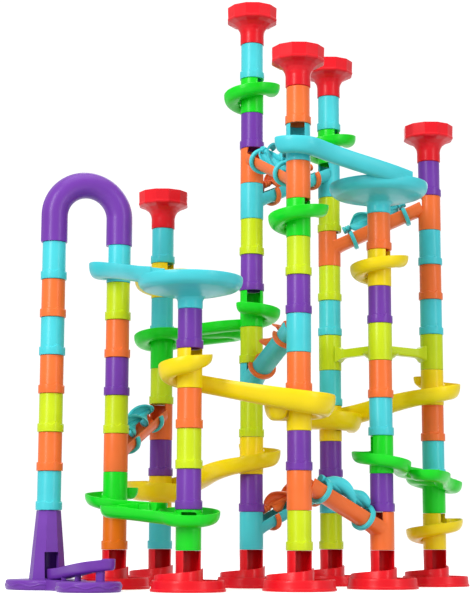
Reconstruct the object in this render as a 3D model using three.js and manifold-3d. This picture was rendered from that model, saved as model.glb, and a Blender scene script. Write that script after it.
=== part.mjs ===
// Marble run: eight tube columns on trays and one on a launch tower, joined by slides, chutes,
// two dishes, a U-bend and a brace.
// Millimetres, +Z up. Every height is given in pitches: one pitch is the height of one tube.
// In a piece that joins two columns, +X runs from the column it starts on to the column it ends on.

import * as THREE from 'three';
import { mergeVertices } from 'three/addons/utils/BufferGeometryUtils.js';
import Module from 'manifold-3d';

// ---- Driving dimensions ----

const PITCH = 41; // height of one tube
const REACH = 117.6; // distance between two columns that a slide, chute or dish joins
const TUBE_R = 12.6; // plain tube
const SLEEVE_R = 14; // collar of a tube, and the body of every special piece
const BORE_R = 10.5; // passes a 16 mm marble
const COLLAR_H = 8.5;
const WALL = 1.6;
const SEAT_GAP = 0.3; // between one piece and the piece it stands on
const TUBE_SIDES = 8;
const ROUND_SIDES = 12;

const WRAP_R = 0.55 * PITCH; // centre line of a channel that runs around a column
const CHANNEL_HALF = 9.7; // half the width of a channel
const SLIDE_DEPTH = 0.36; // pitches, rim to underside
const ZIGZAG_DEPTH = 0.29;
const SPIRAL_DEPTH = 0.3;

const TRAY_R = 39.8;
const TRAY_WALL_R = 37.7;
const TRAY_WALL_H = 11.5;
const TRAY_FLOOR = 2.5;
const DOOR_HEADING = -68; // degrees, of the doorways at the foot of every column
const BASE_H = PITCH; // the underside of a tray is one pitch below its first tube

const DISH_R = 1.33 * PITCH;
const BEND_SPAN = 71.3; // between the two legs of the U-bend
const BEND_LEG = 0.72 * PITCH;

const CHUTE_START = 1.73; // mid-line of a chute at each column, in pitches above its lower end
const CHUTE_END = 0.46;
const CHUTE_HALF = 11.5;
const CHUTE_DEPTH = 13.5;
const AXLE_LIFT = 15.3; // from the mid-line of a chute to the axle of its spinner
const CLIP_AT = [0.24, 0.76]; // share of the reach
const CLIP_R = 13.4;
const CLIP_DROP = 8.6; // from the mid-line to the middle of the band under the chute
const SPINNER_R = 12;
const SPINNER_TURNS = 0.62;
const VANE_WALL = 1.6;
const AXLE_R = 1.9;
const AXLE_HOLE_R = 2.4;
const BOSS_R = 4.1;
const KNOB_R = 3.6;

// ---- Colours, moulded gloss plastic ----

const COLOURS = {
  red: 0xe8061c,
  teal: 0x46d2dc,
  orange: 0xff7430,
  amber: 0xff8c00,
  lime: 0xcfe60a,
  green: 0x00e61a,
  yellow: 0xffe600,
  purple: 0x7332a6,
};

function plastic(colour) {
  return new THREE.MeshStandardMaterial({ color: COLOURS[colour], roughness: 0.25, metalness: 0 });
}

// ---- Column places, all from the reach and five headings in degrees ----

function along(from, heading, length = REACH) {
  const angle = THREE.MathUtils.degToRad(heading);
  return new THREE.Vector2(from.x + length * Math.cos(angle), from.y + length * Math.sin(angle));
}

// The point at one reach from both a and b, on the left of the line from a to b.
function apex(a, b) {
  const middle = a.clone().add(b).multiplyScalar(0.5);
  const half = b.clone().sub(a).multiplyScalar(0.5);
  const rise = Math.sqrt(REACH * REACH - half.lengthSq());
  return new THREE.Vector2(-half.y, half.x).normalize().multiplyScalar(rise).add(middle);
}

const RIGHTWARD = 38.4;
const FORWARD = -65.6;
const C5 = new THREE.Vector2(0, 0);
const C6 = along(C5, FORWARD);
const C7 = along(C5, RIGHTWARD);
const C8 = along(C6, RIGHTWARD);
const C9 = along(C7, FORWARD + 60);
const C4 = along(C6, 180 + 15.4);
const C3 = along(C5, 180 - 28.5);
const C2 = apex(C4, C3);
const C1 = along(C2, 180 + 17.3, BEND_SPAN);
const COLUMNS = { c1: C1, c2: C2, c3: C3, c4: C4, c5: C5, c6: C6, c7: C7, c8: C8, c9: C9 };

// ---- Solids ----

const wasm = await Module();
wasm.setup();

function toSolid(geometry) {
  const bare = geometry.index ? geometry.toNonIndexed() : geometry.clone();
  bare.deleteAttribute('normal');
  bare.deleteAttribute('uv');
  const merged = mergeVertices(bare, 1e-4);
  const vertProperties = new Float32Array(merged.attributes.position.array);
  const triVerts = new Uint32Array(facingOut(vertProperties, merged.index.array));
  return new wasm.Manifold(new wasm.Mesh({ numProp: 3, vertProperties, triVerts }));
}

// The triangles of a closed surface, turned over if they face in, without those that have no area.
function facingOut(xyz, triangles) {
  const corner = (i) => new THREE.Vector3(xyz[3 * i], xyz[3 * i + 1], xyz[3 * i + 2]);
  const kept = [];
  let volume = 0;
  for (let i = 0; i < triangles.length; i += 3) {
    const [a, b, c] = [triangles[i], triangles[i + 1], triangles[i + 2]];
    if (a === b || b === c || a === c) continue;
    kept.push(a, b, c);
    volume += corner(a).dot(corner(b).cross(corner(c)));
  }
  return volume > 0 ? kept : kept.reverse();
}

function toMesh(name, solid, colour, at, level = 0, heading = 0) {
  const { vertProperties, triVerts, numProp } = solid.getMesh();
  const geometry = new THREE.BufferGeometry();
  const position = new Float32Array((vertProperties.length / numProp) * 3);
  for (let i = 0; i < position.length; i++) {
    position[i] = vertProperties[Math.floor(i / 3) * numProp + (i % 3)];
  }
  geometry.setAttribute('position', new THREE.BufferAttribute(position, 3));
  geometry.setIndex(new THREE.BufferAttribute(new Uint32Array(triVerts), 1));
  geometry.computeVertexNormals();
  const mesh = new THREE.Mesh(geometry, plastic(colour));
  mesh.name = name;
  mesh.position.set(at.x, at.y, BASE_H + level * PITCH);
  mesh.rotation.z = heading;
  return mesh;
}

// A closed profile of [radius, height] points turned about the Z axis.
function turned(profile, sides = TUBE_SIDES) {
  const points = profile.map(([r, z]) => new THREE.Vector2(r, z));
  points.push(points[0].clone());
  return toSolid(new THREE.LatheGeometry(points, sides, Math.PI / sides).rotateX(Math.PI / 2));
}

function rod(radius, low, high, sides = TUBE_SIDES) {
  return turned([[0, low], [radius, low], [radius, high], [0, high]], sides);
}

function pipe(outer, inner, low, high, sides = TUBE_SIDES) {
  return turned([[inner, low], [outer, low], [outer, high], [inner, high]], sides);
}

// A box from x0 to x1 and low to high, turned about Z to a heading in degrees.
function bar(x0, x1, width, low, high, heading = 0, yMiddle = 0) {
  const box = new THREE.BoxGeometry(x1 - x0, width, high - low);
  box.translate((x0 + x1) / 2, yMiddle, (low + high) / 2);
  return toSolid(box.rotateZ(THREE.MathUtils.degToRad(heading)));
}

// A section of [across, up] points carried along stations that each have a place, a left and an up.
function swept(stations, section, closed = false) {
  const points = section.map(([across, rise]) => new THREE.Vector2(across, rise));
  if (THREE.ShapeUtils.isClockWise(points)) points.reverse();
  const count = points.length;
  const rings = stations.length;
  const xyz = [];
  for (const { place, left, up } of stations) {
    for (const { x, y } of points) {
      const corner = place.clone().addScaledVector(left, x).addScaledVector(up, y);
      xyz.push(corner.x, corner.y, corner.z);
    }
  }
  const triangles = [];
  for (let ring = 0; ring < (closed ? rings : rings - 1); ring++) {
    const here = ring * count;
    const next = ((ring + 1) % rings) * count;
    for (let i = 0; i < count; i++) {
      const j = (i + 1) % count;
      triangles.push(here + i, here + j, next + i, here + j, next + j, next + i);
    }
  }
  if (!closed) {
    const last = (rings - 1) * count;
    for (const [a, b, c] of THREE.ShapeUtils.triangulateShape(points, [])) {
      triangles.push(a, c, b, last + a, last + b, last + c);
    }
  }
  const geometry = new THREE.BufferGeometry();
  geometry.setAttribute('position', new THREE.Float32BufferAttribute(xyz, 3));
  geometry.setIndex(triangles);
  return toSolid(geometry);
}

// ---- Channels: flat curves with a rim height at the end of each leg ----

const UP = new THREE.Vector3(0, 0, 1);

function arc(x, y, radius, from, to) {
  const [a, b] = [from, to].map(THREE.MathUtils.degToRad);
  return new THREE.EllipseCurve(x, y, radius, radius, a, b, b < a);
}

function straight(x0, y0, x1, y1) {
  return new THREE.LineCurve(new THREE.Vector2(x0, y0), new THREE.Vector2(x1, y1));
}

// A bend that leaves one point at one heading and reaches another at another, in degrees.
function ease(x0, y0, heading0, x1, y1, heading1, pull) {
  const start = new THREE.Vector2(x0, y0);
  const end = new THREE.Vector2(x1, y1);
  return new THREE.CubicBezierCurve(start, along(start, heading0, pull), along(end, heading1, -pull), end);
}

function stationsAlong(legs, startRim) {
  const stations = [];
  let rim = startRim;
  for (const leg of legs) {
    for (let i = stations.length ? 1 : 0; i <= leg.steps; i++) {
      const share = i / leg.steps;
      const flat = leg.curve.getPoint(share);
      const tangent = leg.curve.getTangent(share);
      const height = THREE.MathUtils.lerp(rim, leg.rim, share) * PITCH;
      stations.push({
        place: new THREE.Vector3(flat.x, flat.y, height),
        left: new THREE.Vector3(-tangent.y, tangent.x, 0),
        up: UP,
      });
    }
    rim = leg.rim;
  }
  return stations;
}

function channelSection(depth, half = CHANNEL_HALF) {
  const floor = -depth * PITCH;
  const foot = 0.62 * half;
  return [
    [-half, 0], [-foot, floor], [foot, floor], [half, 0],
    [half - WALL, 0], [foot - 0.4 * WALL, floor + WALL], [0.4 * WALL - foot, floor + WALL], [WALL - half, 0],
  ];
}

// The space a marble needs above the floor of a channel.
function clearSection(depth, half = CHANNEL_HALF) {
  const floor = -depth * PITCH + WALL;
  const foot = 0.62 * half - 0.4 * WALL;
  const top = floor + 0.45 * PITCH;
  return [
    [WALL - half, top], [WALL - half, 0], [-foot, floor],
    [foot, floor], [half - WALL, 0], [half - WALL, top],
  ];
}

// ---- Tubes and the tube-like bodies of the special pieces ----

function tubeProfile(count, low = 0) {
  const outside = [];
  for (let i = 0; i < count; i++) {
    const foot = low + i * PITCH;
    outside.push([SLEEVE_R, foot], [SLEEVE_R, foot + COLLAR_H], [TUBE_R, foot + COLLAR_H + 1]);
    if (i < count - 1) outside.push([TUBE_R, foot + PITCH]);
  }
  const top = low + count * PITCH - SEAT_GAP;
  return [[BORE_R, low], ...outside, [TUBE_R, top], [BORE_R, top]];
}

// The body of a special piece, one pitch high. With a floor, a marble from above can't fall through
// it, and with a crown it is one with the plain tube that stands on it.
function sleeve(level, floor = null, crowned = false) {
  const low = level * PITCH;
  const top = low + (crowned ? 2 : 1) * PITCH - SEAT_GAP;
  const collarTop = low + PITCH + COLLAR_H;
  const outside = crowned
    ? [[SLEEVE_R, low], [SLEEVE_R, collarTop], [TUBE_R, collarTop + 1], [TUBE_R, top]]
    : [[SLEEVE_R, low], [SLEEVE_R, top]];
  if (floor === null) return turned([[BORE_R, low], ...outside, [BORE_R, top]]);
  const deck = floor * PITCH;
  return turned([
    [0, deck - WALL], [BORE_R, deck - WALL], [BORE_R, low], ...outside, [BORE_R, top],
    [BORE_R, deck], [0, deck],
  ]);
}

// The side opening between a bore and a channel, at a heading in degrees.
function window(x, y, heading, low, high, width = 15.5) {
  const cut = bar(3, SLEEVE_R + 1.2, width, low * PITCH, high * PITCH, heading);
  return cut.translate([x, y, 0]);
}

// ---- Pieces that join two columns ----

// A one-piece S slide: three quarters of a turn round each column, and a sweep from side to side.
function sSlide(startCrowned, endCrowned) {
  const legs = [
    { curve: arc(0, 0, WRAP_R, 0, -270), steps: 8, rim: 1.42 },
    { curve: ease(0, WRAP_R, 0, REACH, -WRAP_R, 0, 0.45 * REACH), steps: 4, rim: 1.0 },
    { curve: arc(REACH, 0, WRAP_R, -90, 180), steps: 8, rim: 0.55 },
  ];
  const startFloor = 1.84 - SLIDE_DEPTH + 0.05;
  return sleeve(1, startFloor, startCrowned)
    .add(sleeve(0, null, endCrowned).translate([REACH, 0, 0]))
    .add(swept(stationsAlong(legs, 1.84), channelSection(SLIDE_DEPTH)))
    .subtract(window(0, 0, -45, startFloor, 2))
    .subtract(window(REACH, 0, 160, 0.26, 0.68));
}

const LANES = [-0.05, -0.53, -1.01].map((share) => share * PITCH);
const TURN_FAR = 1.7 * PITCH;
const TURN_NEAR = 1.1 * PITCH;
const BOWL_RIM = 0.95;
const BOWL_TILT = 0.12;
const BOWL_LOW_SIDE = -40; // degrees

// The catch bowl round the lower column: a ring channel that leans towards its outlet.
function catchBowl() {
  const stations = [];
  for (let i = 0; i < ROUND_SIDES; i++) {
    const angle = (2 * Math.PI * i) / ROUND_SIDES;
    const lean = Math.cos(angle - THREE.MathUtils.degToRad(BOWL_LOW_SIDE));
    const outward = new THREE.Vector3(Math.cos(angle), Math.sin(angle), 0);
    const place = outward.clone().multiplyScalar(WRAP_R);
    place.x += REACH;
    place.z = (BOWL_RIM - BOWL_TILT * lean) * PITCH;
    stations.push({ place, left: outward.clone().negate(), up: UP });
  }
  return swept(stations, channelSection(ZIGZAG_DEPTH), true);
}

// A zigzag slide: over half a turn, three lanes side by side, and the catch bowl.
function zigzagSlide(startCrowned, endCrowned) {
  const leave = along(new THREE.Vector2(0, 0), -60, WRAP_R);
  const [first, second, third] = LANES;
  const turnR = (first - second) / 2;
  const bowlEntry = along(new THREE.Vector2(REACH, 0), -100, WRAP_R);
  const legs = [
    { curve: arc(0, 0, WRAP_R, 90, 300), steps: 6, rim: 1.28 },
    { curve: ease(leave.x, leave.y, 30, TURN_NEAR, first, 0, 0.3 * PITCH), steps: 2, rim: 1.2 },
    { curve: straight(TURN_NEAR, first, TURN_FAR, first), steps: 1, rim: 1.17 },
    { curve: arc(TURN_FAR, (first + second) / 2, turnR, 90, -90), steps: 4, rim: 1.14 },
    { curve: straight(TURN_FAR, second, TURN_NEAR, second), steps: 1, rim: 1.12 },
    { curve: arc(TURN_NEAR, (second + third) / 2, turnR, 90, 270), steps: 4, rim: 1.08 },
    { curve: ease(TURN_NEAR, third, 0, bowlEntry.x, bowlEntry.y, -5, 0.8 * PITCH), steps: 3, rim: 0.9 },
  ];
  const stations = stationsAlong(legs, 1.6);
  const startFloor = 1.6 - ZIGZAG_DEPTH + 0.05;
  const roomAbove = rod(1.1 * SLEEVE_R + SEAT_GAP, PITCH - SEAT_GAP, 1.2 * PITCH);
  return sleeve(1, startFloor, startCrowned)
    .add(catchBowl())
    .add(swept(stations, channelSection(ZIGZAG_DEPTH)))
    .subtract(swept(stations.slice(-2), clearSection(ZIGZAG_DEPTH)))
    .subtract(roomAbove.translate([REACH, 0, 0]))
    .add(sleeve(0, null, endCrowned).translate([REACH, 0, 0]))
    .subtract(window(0, 0, 130, startFloor, 2))
    .subtract(window(REACH, 0, BOWL_LOW_SIDE, 0.56, 0.98));
}

// A spiral round a single column: out at the top of its body, in again near the foot.
function spiral(crowned) {
  const legs = [{ curve: arc(0, 0, WRAP_R, 20, -255), steps: 9, rim: 0.42 }];
  const floor = 0.85 - SPIRAL_DEPTH + 0.05;
  return sleeve(0, floor, crowned)
    .add(swept(stationsAlong(legs, 0.85), channelSection(SPIRAL_DEPTH)))
    .subtract(window(0, 0, -25, floor, 1))
    .subtract(window(0, 0, 125, 0.15, 0.52));
}

const SLOPE = Math.atan2((CHUTE_START - CHUTE_END) * PITCH, REACH);
const RUN = REACH / Math.cos(SLOPE);

// From the frame of the chute, +X down its mid-line and +Z square to it, to the frame of the piece.
const CHUTE_TO_PIECE = new THREE.Matrix4()
  .makeTranslation(0, 0, CHUTE_START * PITCH)
  .multiply(new THREE.Matrix4().makeRotationY(SLOPE));

function inChute(solid) {
  return solid.transform(CHUTE_TO_PIECE.toArray());
}

function chuteStations(x0, x1) {
  const left = new THREE.Vector3(0, 1, 0);
  return [x0, x1].map((x) => ({ place: new THREE.Vector3(x, 0, CHUTE_DEPTH / 2), left, up: UP }));
}

// A clip ring round the chute, open on one side, with the boss that holds one end of an axle.
function clip(x) {
  const halfHeight = (AXLE_LIFT + CLIP_DROP) / 2;
  const steps = 8;
  const stations = [];
  for (let i = 0; i <= steps; i++) {
    const angle = THREE.MathUtils.degToRad(THREE.MathUtils.lerp(104, 380, i / steps));
    const [across, rise] = [Math.cos(angle), Math.sin(angle)];
    const place = new THREE.Vector3(x, CLIP_R * across, halfHeight * (1 + rise) - CLIP_DROP);
    stations.push({ place, left: new THREE.Vector3(1, 0, 0), up: new THREE.Vector3(0, across, rise) });
  }
  const band = swept(stations, [[-2, -1.2], [2, -1.2], [2, 1.6], [-2, 1.6]]);
  const boss = pipe(BOSS_R, AXLE_HOLE_R, -2.2, 2.2, 6).rotate([0, 90, 0]);
  return band.add(boss.translate([x, 0, AXLE_LIFT]));
}

// A straight chute between two bodies, with the two clips that carry its spinner.
function chute(startCrowned, endCrowned) {
  const depth = CHUTE_DEPTH / PITCH;
  const trough = swept(chuteStations(BORE_R - 1, RUN - 4), channelSection(depth, CHUTE_HALF));
  const space = swept(chuteStations(4, RUN - 2), clearSection(depth, CHUTE_HALF));
  const deck = CHUTE_START * PITCH - CHUTE_DEPTH / 2 - BORE_R * Math.tan(SLOPE) + 2.5;
  return sleeve(1, null, startCrowned)
    .add(sleeve(0, null, endCrowned).translate([REACH, 0, 0]))
    .add(inChute(trough))
    .subtract(inChute(space))
    .subtract(window(0, 0, 0, (deck + 2) / PITCH, 2))
    .subtract(rod(BORE_R, -1, PITCH).translate([REACH, 0, 0]))
    .add(rod(BORE_R + 0.5, deck - WALL, deck))
    .add(inChute(clip(CLIP_AT[0] * RUN)))
    .add(inChute(clip(CLIP_AT[1] * RUN)));
}

// One curled vane of a spinner: half a circle from the axle out to its tip.
function vane() {
  const curl = SPINNER_R / 2;
  const line = (radius) => [0, 55, 110, 165].map((degrees) => {
    const angle = THREE.MathUtils.degToRad(degrees);
    return [curl - radius * Math.cos(angle), radius * Math.sin(angle)];
  });
  return [...line(curl - VANE_WALL / 2), ...line(curl + VANE_WALL / 2).reverse()];
}

// The screw that marbles turn as they pass: two curled vanes that wind along an axle.
function spinner() {
  const [first, last] = CLIP_AT.map((share) => share * RUN);
  const steps = 6;
  const stations = [];
  for (let i = 0; i <= steps; i++) {
    const turn = (2 * Math.PI * SPINNER_TURNS * i) / steps;
    stations.push({
      place: new THREE.Vector3(THREE.MathUtils.lerp(first + 4.5, last - 4.5, i / steps), 0, 0),
      left: new THREE.Vector3(0, Math.cos(turn), Math.sin(turn)),
      up: new THREE.Vector3(0, -Math.sin(turn), Math.cos(turn)),
    });
  }
  const opposite = vane().map(([across, rise]) => [-across, -rise]);
  const axle = turned([
    [0, first - 6], [KNOB_R, first - 5], [AXLE_R, first - 3],
    [AXLE_R, last + 3], [KNOB_R, last + 5], [0, last + 6],
  ], 6).rotate([0, 90, 0]);
  const screw = swept(stations, vane()).add(swept(stations, opposite)).add(axle);
  return inChute(screw.translate([0, 0, AXLE_LIFT]));
}

// A dish on the lower column, and the trough that feeds it from the higher one.
function dish() {
  const p = PITCH;
  const bowl = turned([
    [BORE_R, 0], [SLEEVE_R, 0], [SLEEVE_R, 0.28 * p], [0.93 * DISH_R, 0.46 * p], [DISH_R, 0.56 * p],
    [DISH_R, 0.8 * p], [DISH_R - WALL, 0.8 * p], [0.92 * DISH_R, 0.46 * p + WALL], [BORE_R, 0.28 * p + WALL],
  ], ROUND_SIDES).translate([REACH, 0, 0]);
  const rimLane = -(DISH_R - CHANNEL_HALF);
  const legs = [
    { curve: arc(0, 0, WRAP_R, 180, 270), steps: 3, rim: 1.48 },
    { curve: ease(0, -WRAP_R, 0, REACH, rimLane, 0, 0.4 * REACH), steps: 4, rim: 0.92 },
  ];
  const stations = stationsAlong(legs, 1.55);
  const floor = 1.2;
  return sleeve(1, floor)
    .add(bowl)
    .add(swept(stations, channelSection(SLIDE_DEPTH)))
    .subtract(swept(stations.slice(-2), clearSection(SLIDE_DEPTH)))
    .subtract(window(0, 0, -135, floor, 2));
}

// ---- Single pieces ----

// The low wall that leaves the neck beside the doorway and winds round to the far side of the tray.
function guideWall() {
  const turnIn = along(new THREE.Vector2(0, 0), -120, 32);
  const legs = [
    { curve: ease(14.2, 4, -90, turnIn.x, turnIn.y, 150, 27), steps: 4, rim: 0.46 },
    { curve: arc(0, 0, 32, -120, -185), steps: 3, rim: 0.33 },
  ];
  const stations = stationsAlong(legs, 0.56);
  for (const station of stations) {
    station.up = UP.clone().multiplyScalar(station.place.z - TRAY_FLOOR + 0.5);
  }
  return swept(stations, [[-0.9, -1], [0.9, -1], [0.9, 0], [-0.9, 0]]);
}

// A tray with a neck for the first tube, a tall doorway in the neck, and the guide wall.
function base(crowned) {
  const neckTop = BASE_H - SEAT_GAP;
  const floor = TRAY_FLOOR;
  const tray = turned([
    [0, 0], [TRAY_R, 0], [TRAY_R, floor], [TRAY_WALL_R, floor], [TRAY_WALL_R, TRAY_WALL_H],
    [TRAY_WALL_R - WALL, TRAY_WALL_H], [TRAY_WALL_R - WALL, floor], [0, floor],
  ], ROUND_SIDES);
  const crown = crowned ? tubeProfile(1, PITCH).slice(1, -1) : [];
  const top = crowned ? neckTop + PITCH : neckTop;
  const neck = turned([
    [BORE_R, floor - 1], [TUBE_R, floor - 1], [TUBE_R, neckTop], ...crown, [BORE_R, top],
  ]);
  const doorway = bar(2, 13.6, 17, floor, 0.97 * BASE_H, DOOR_HEADING);
  return tray.add(neck.subtract(doorway)).add(guideWall());
}

// A twelve-sided cup on a flared neck.
function funnel() {
  const p = PITCH;
  const [rim, skirt] = [0.71 * p, 0.6 * p];
  const top = 1.048 * p;
  return turned([
    [BORE_R, 0], [SLEEVE_R, 0], [SLEEVE_R, 0.3 * p], [skirt, 0.62 * p], [rim, 0.66 * p], [rim, top],
    [rim - WALL, top], [rim - WALL, 0.7 * p], [BORE_R, 0.34 * p],
  ], 12);
}

function ringOf(radius, sides) {
  return Array.from({ length: sides }, (_, i) => along(new THREE.Vector2(0, 0), (360 * i) / sides, radius));
}

class Arch extends THREE.Curve {
  constructor(radius, leg) {
    super();
    this.radius = radius;
    this.leg = leg;
  }

  getPoint(share, target = new THREE.Vector3()) {
    const total = 2 * this.leg + Math.PI * this.radius;
    const run = share * total;
    if (run < this.leg) return target.set(-this.radius, 0, run);
    if (run > total - this.leg) return target.set(this.radius, 0, total - run);
    const angle = Math.PI - (run - this.leg) / this.radius;
    return target.set(this.radius * Math.cos(angle), 0, this.leg + this.radius * Math.sin(angle));
  }
}

// The hollow U-bend over the first two columns, with a seam rib along its crown.
function uBend() {
  const bend = (radius, leg) => {
    const circle = new THREE.Shape();
    circle.setFromPoints(ringOf(radius, TUBE_SIDES));
    const path = new Arch(BEND_SPAN / 2, leg);
    const options = { steps: 13, bevelEnabled: false, extrudePath: path };
    return toSolid(new THREE.ExtrudeGeometry(circle, options));
  };
  return bend(SLEEVE_R, BEND_LEG).subtract(bend(BORE_R, BEND_LEG + 1).translate([0, 0, -1]));
}

// Three sleeves held at the corners of a triangle by arms that meet in a small bowl.
function brace() {
  const corners = [C7, C8, C9].map((corner) => corner.clone().sub(C7));
  const hub = corners[0].clone().add(corners[1]).add(corners[2]).divideScalar(3);
  const p = PITCH;
  let solid = turned([
    [0, 0.15 * p], [0.2 * p, 0.16 * p], [0.5 * p, 0.36 * p], [0.5 * p, 0.42 * p],
    [0.2 * p, 0.6 * p], [0, 0.6 * p],
  ], 12).translate([hub.x, hub.y, 0]);
  for (const corner of corners) {
    const toHub = hub.clone().sub(corner);
    const heading = THREE.MathUtils.radToDeg(Math.atan2(toHub.y, toHub.x));
    const arm = bar(BORE_R + 1, toHub.length(), 0.24 * p, 0.36 * p, 0.6 * p, heading);
    solid = solid.add(arm.translate([corner.x, corner.y, 0]));
    solid = solid.add(sleeve(0, null, corner === corners[1]).translate([corner.x, corner.y, 0]));
  }
  return solid;
}

const PAD_R = 1.12 * PITCH;
const LOBE_R = 0.8 * PITCH;
const LOBE_X = 1.25 * PITCH;
const LOBE_Y = -1.97 * PITCH;
const PAD_H = 0.25 * PITCH;

// The tapered tower, its two-lobed foot, and the raised track from its door to the outer lobe.
function launchTower() {
  const toLobe = THREE.MathUtils.radToDeg(Math.atan2(LOBE_Y, LOBE_X));
  const reach = Math.hypot(LOBE_X, LOBE_Y);
  const top = 2 * PITCH - SEAT_GAP;
  const legs = [
    { curve: straight(10, -6, 20, -22), steps: 1, rim: 0.52 },
    { curve: ease(20, -22, -58, LOBE_X + 18, LOBE_Y + 8, 20, 24), steps: 4, rim: 0.78 },
  ];
  const track = stationsAlong(legs, 0.48);
  const neighbour = C2.clone().sub(C1);
  const post = (share) => {
    const { place } = track[share];
    return rod(3.2, PAD_H - 1, place.z - 0.24 * PITCH, 6).translate([place.x, place.y, 0]);
  };
  return rod(PAD_R, 0, PAD_H, ROUND_SIDES)
    .add(rod(LOBE_R, 0, PAD_H, ROUND_SIDES).translate([LOBE_X, LOBE_Y, 0]))
    .add(bar(0, reach, 1.2 * LOBE_R, 0, PAD_H - 1, toLobe))
    .add(turned([[0, PAD_H - 1], [0.43 * PITCH, PAD_H - 1], [TUBE_R, top], [0, top]]))
    .subtract(rod(BORE_R, PAD_H + 1, top + 1))
    .subtract(bar(2, 22, 13.5, PAD_H + 1, 0.92 * PITCH, DOOR_HEADING))
    .add(swept(track, channelSection(0.26, 8)))
    .add(post(3))
    .add(post(5))
    .subtract(rod(TRAY_R + 1, -1, PITCH, ROUND_SIDES).translate([neighbour.x, neighbour.y, 0]));
}

// ---- The assembly ----

const run = new THREE.Group();

function addSingle(name, solid, colour, column, level) {
  run.add(toMesh(name, solid, colour, COLUMNS[column], level));
}

// A piece from one column to another. It may be one with the plain tubes that stand on its two ends.
function addLink(name, make, colour, from, to, level, crowns = '') {
  const way = COLUMNS[to].clone().sub(COLUMNS[from]);
  const solid = make(crowns.includes('start'), crowns.includes('end'));
  run.add(toMesh(name, solid, colour, COLUMNS[from], level, Math.atan2(way.y, way.x)));
}

const CROWNED_BASES = ['c3', 'c6', 'c7'];
for (const column of ['c2', 'c3', 'c4', 'c5', 'c6', 'c7', 'c8', 'c9']) {
  addSingle(`base_${column}`, base(CROWNED_BASES.includes(column)), 'red', column, -1);
}
addSingle('launch_tower', launchTower(), 'purple', 'c1', -1);

const FUNNELS = { c3: 9, c5: 14, c6: 12, c7: 13, c9: 11 };
for (const [column, level] of Object.entries(FUNNELS)) {
  addSingle(`funnel_${column}`, funnel(), 'red', column, level);
}

const SPIRALS = [
  ['c3', 7, 'yellow'], ['c5', 12, 'green'], ['c6', 8, 'green'],
  ['c7', 11, 'green'], ['c8', 7, 'yellow'], ['c9', 0, 'yellow'],
];
for (const [column, level, colour] of SPIRALS) {
  addSingle(`spiral_${column}`, spiral(column === 'c8'), colour, column, level);
}

const S_SLIDES = [['c4', 'c6', 3, 'start end'], ['c5', 'c3', 1, 'start end'], ['c9', 'c7', 3, 'end']];
for (const [from, to, level, crowns] of S_SLIDES) {
  addLink(`slide_${from}_${to}_l${level}`, sSlide, 'yellow', from, to, level, crowns);
}

const ZIGZAGS = [['c2', 'c4', 0, ''], ['c5', 'c3', 5, 'end'], ['c8', 'c9', 1, '']];
for (const [from, to, level, crowns] of ZIGZAGS) {
  addLink(`slide_${from}_${to}_l${level}`, zigzagSlide, 'green', from, to, level, crowns);
}

const CHUTES = [
  ['c3', 'c2', 2, 'orange', 'start'], ['c6', 'c8', 0, 'orange', 'start'],
  ['c5', 'c6', 9, 'orange', 'start'], ['c9', 'c7', 8, 'orange', 'end'],
  ['c7', 'c5', 0, 'teal', 'start end'], ['c6', 'c5', 4, 'teal', 'end'], ['c7', 'c5', 9, 'teal', ''],
];
for (const [from, to, level, colour, crowns] of CHUTES) {
  const name = `${from}_${to}_l${level}`;
  addLink(`chute_${name}`, chute, colour, from, to, level, crowns);
  addLink(`spinner_${name}`, spinner, colour === 'teal' ? 'orange' : 'teal', from, to, level);
}

addLink('dish_c2_c4', dish, 'teal', 'c2', 'c4', 6);
addLink('dish_c6_c8', dish, 'teal', 'c6', 'c8', 9);
addSingle('brace', brace(), 'lime', 'c7', 5);

const bendMiddle = C1.clone().add(C2).multiplyScalar(0.5);
const bendWay = C2.clone().sub(C1);
run.add(toMesh('u_bend', uBend(), 'purple', bendMiddle, 8, Math.atan2(bendWay.y, bendWay.x)));

const TUBES = [
  ['c1', 1, 7, 'teal'], ['c2', 0, 1, 'amber'], ['c2', 3, 4, 'lime'], ['c3', 8, 1, 'teal'],
  ['c4', 1, 3, 'purple'], ['c5', 7, 2, 'purple'], ['c5', 13, 1, 'teal'], ['c6', 6, 2, 'purple'],
  ['c6', 11, 1, 'orange'], ['c7', 6, 2, 'teal'], ['c7', 12, 1, 'teal'], ['c8', 1, 1, 'purple'],
  ['c8', 3, 2, 'teal'], ['c9', 2, 2, 'teal'], ['c9', 6, 3, 'teal'], ['c9', 10, 1, 'purple'],
];
for (const [column, level, count, colour] of TUBES) {
  addSingle(`tubes_${column}_l${level}`, turned(tubeProfile(count)), colour, column, level);
}

// The origin is the middle of the whole run's footprint, on the surface it stands on.
run.updateMatrixWorld(true);
const extent = new THREE.Box3().setFromObject(run, true);
const middle = extent.getCenter(new THREE.Vector3());
run.position.set(-middle.x, -middle.y, -extent.min.z);

export default run;
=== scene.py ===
"""A marble run in moulded gloss plastic: the finished pieces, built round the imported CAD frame."""

import math

import bmesh
import bpy
from mathutils import Matrix, Vector


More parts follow.
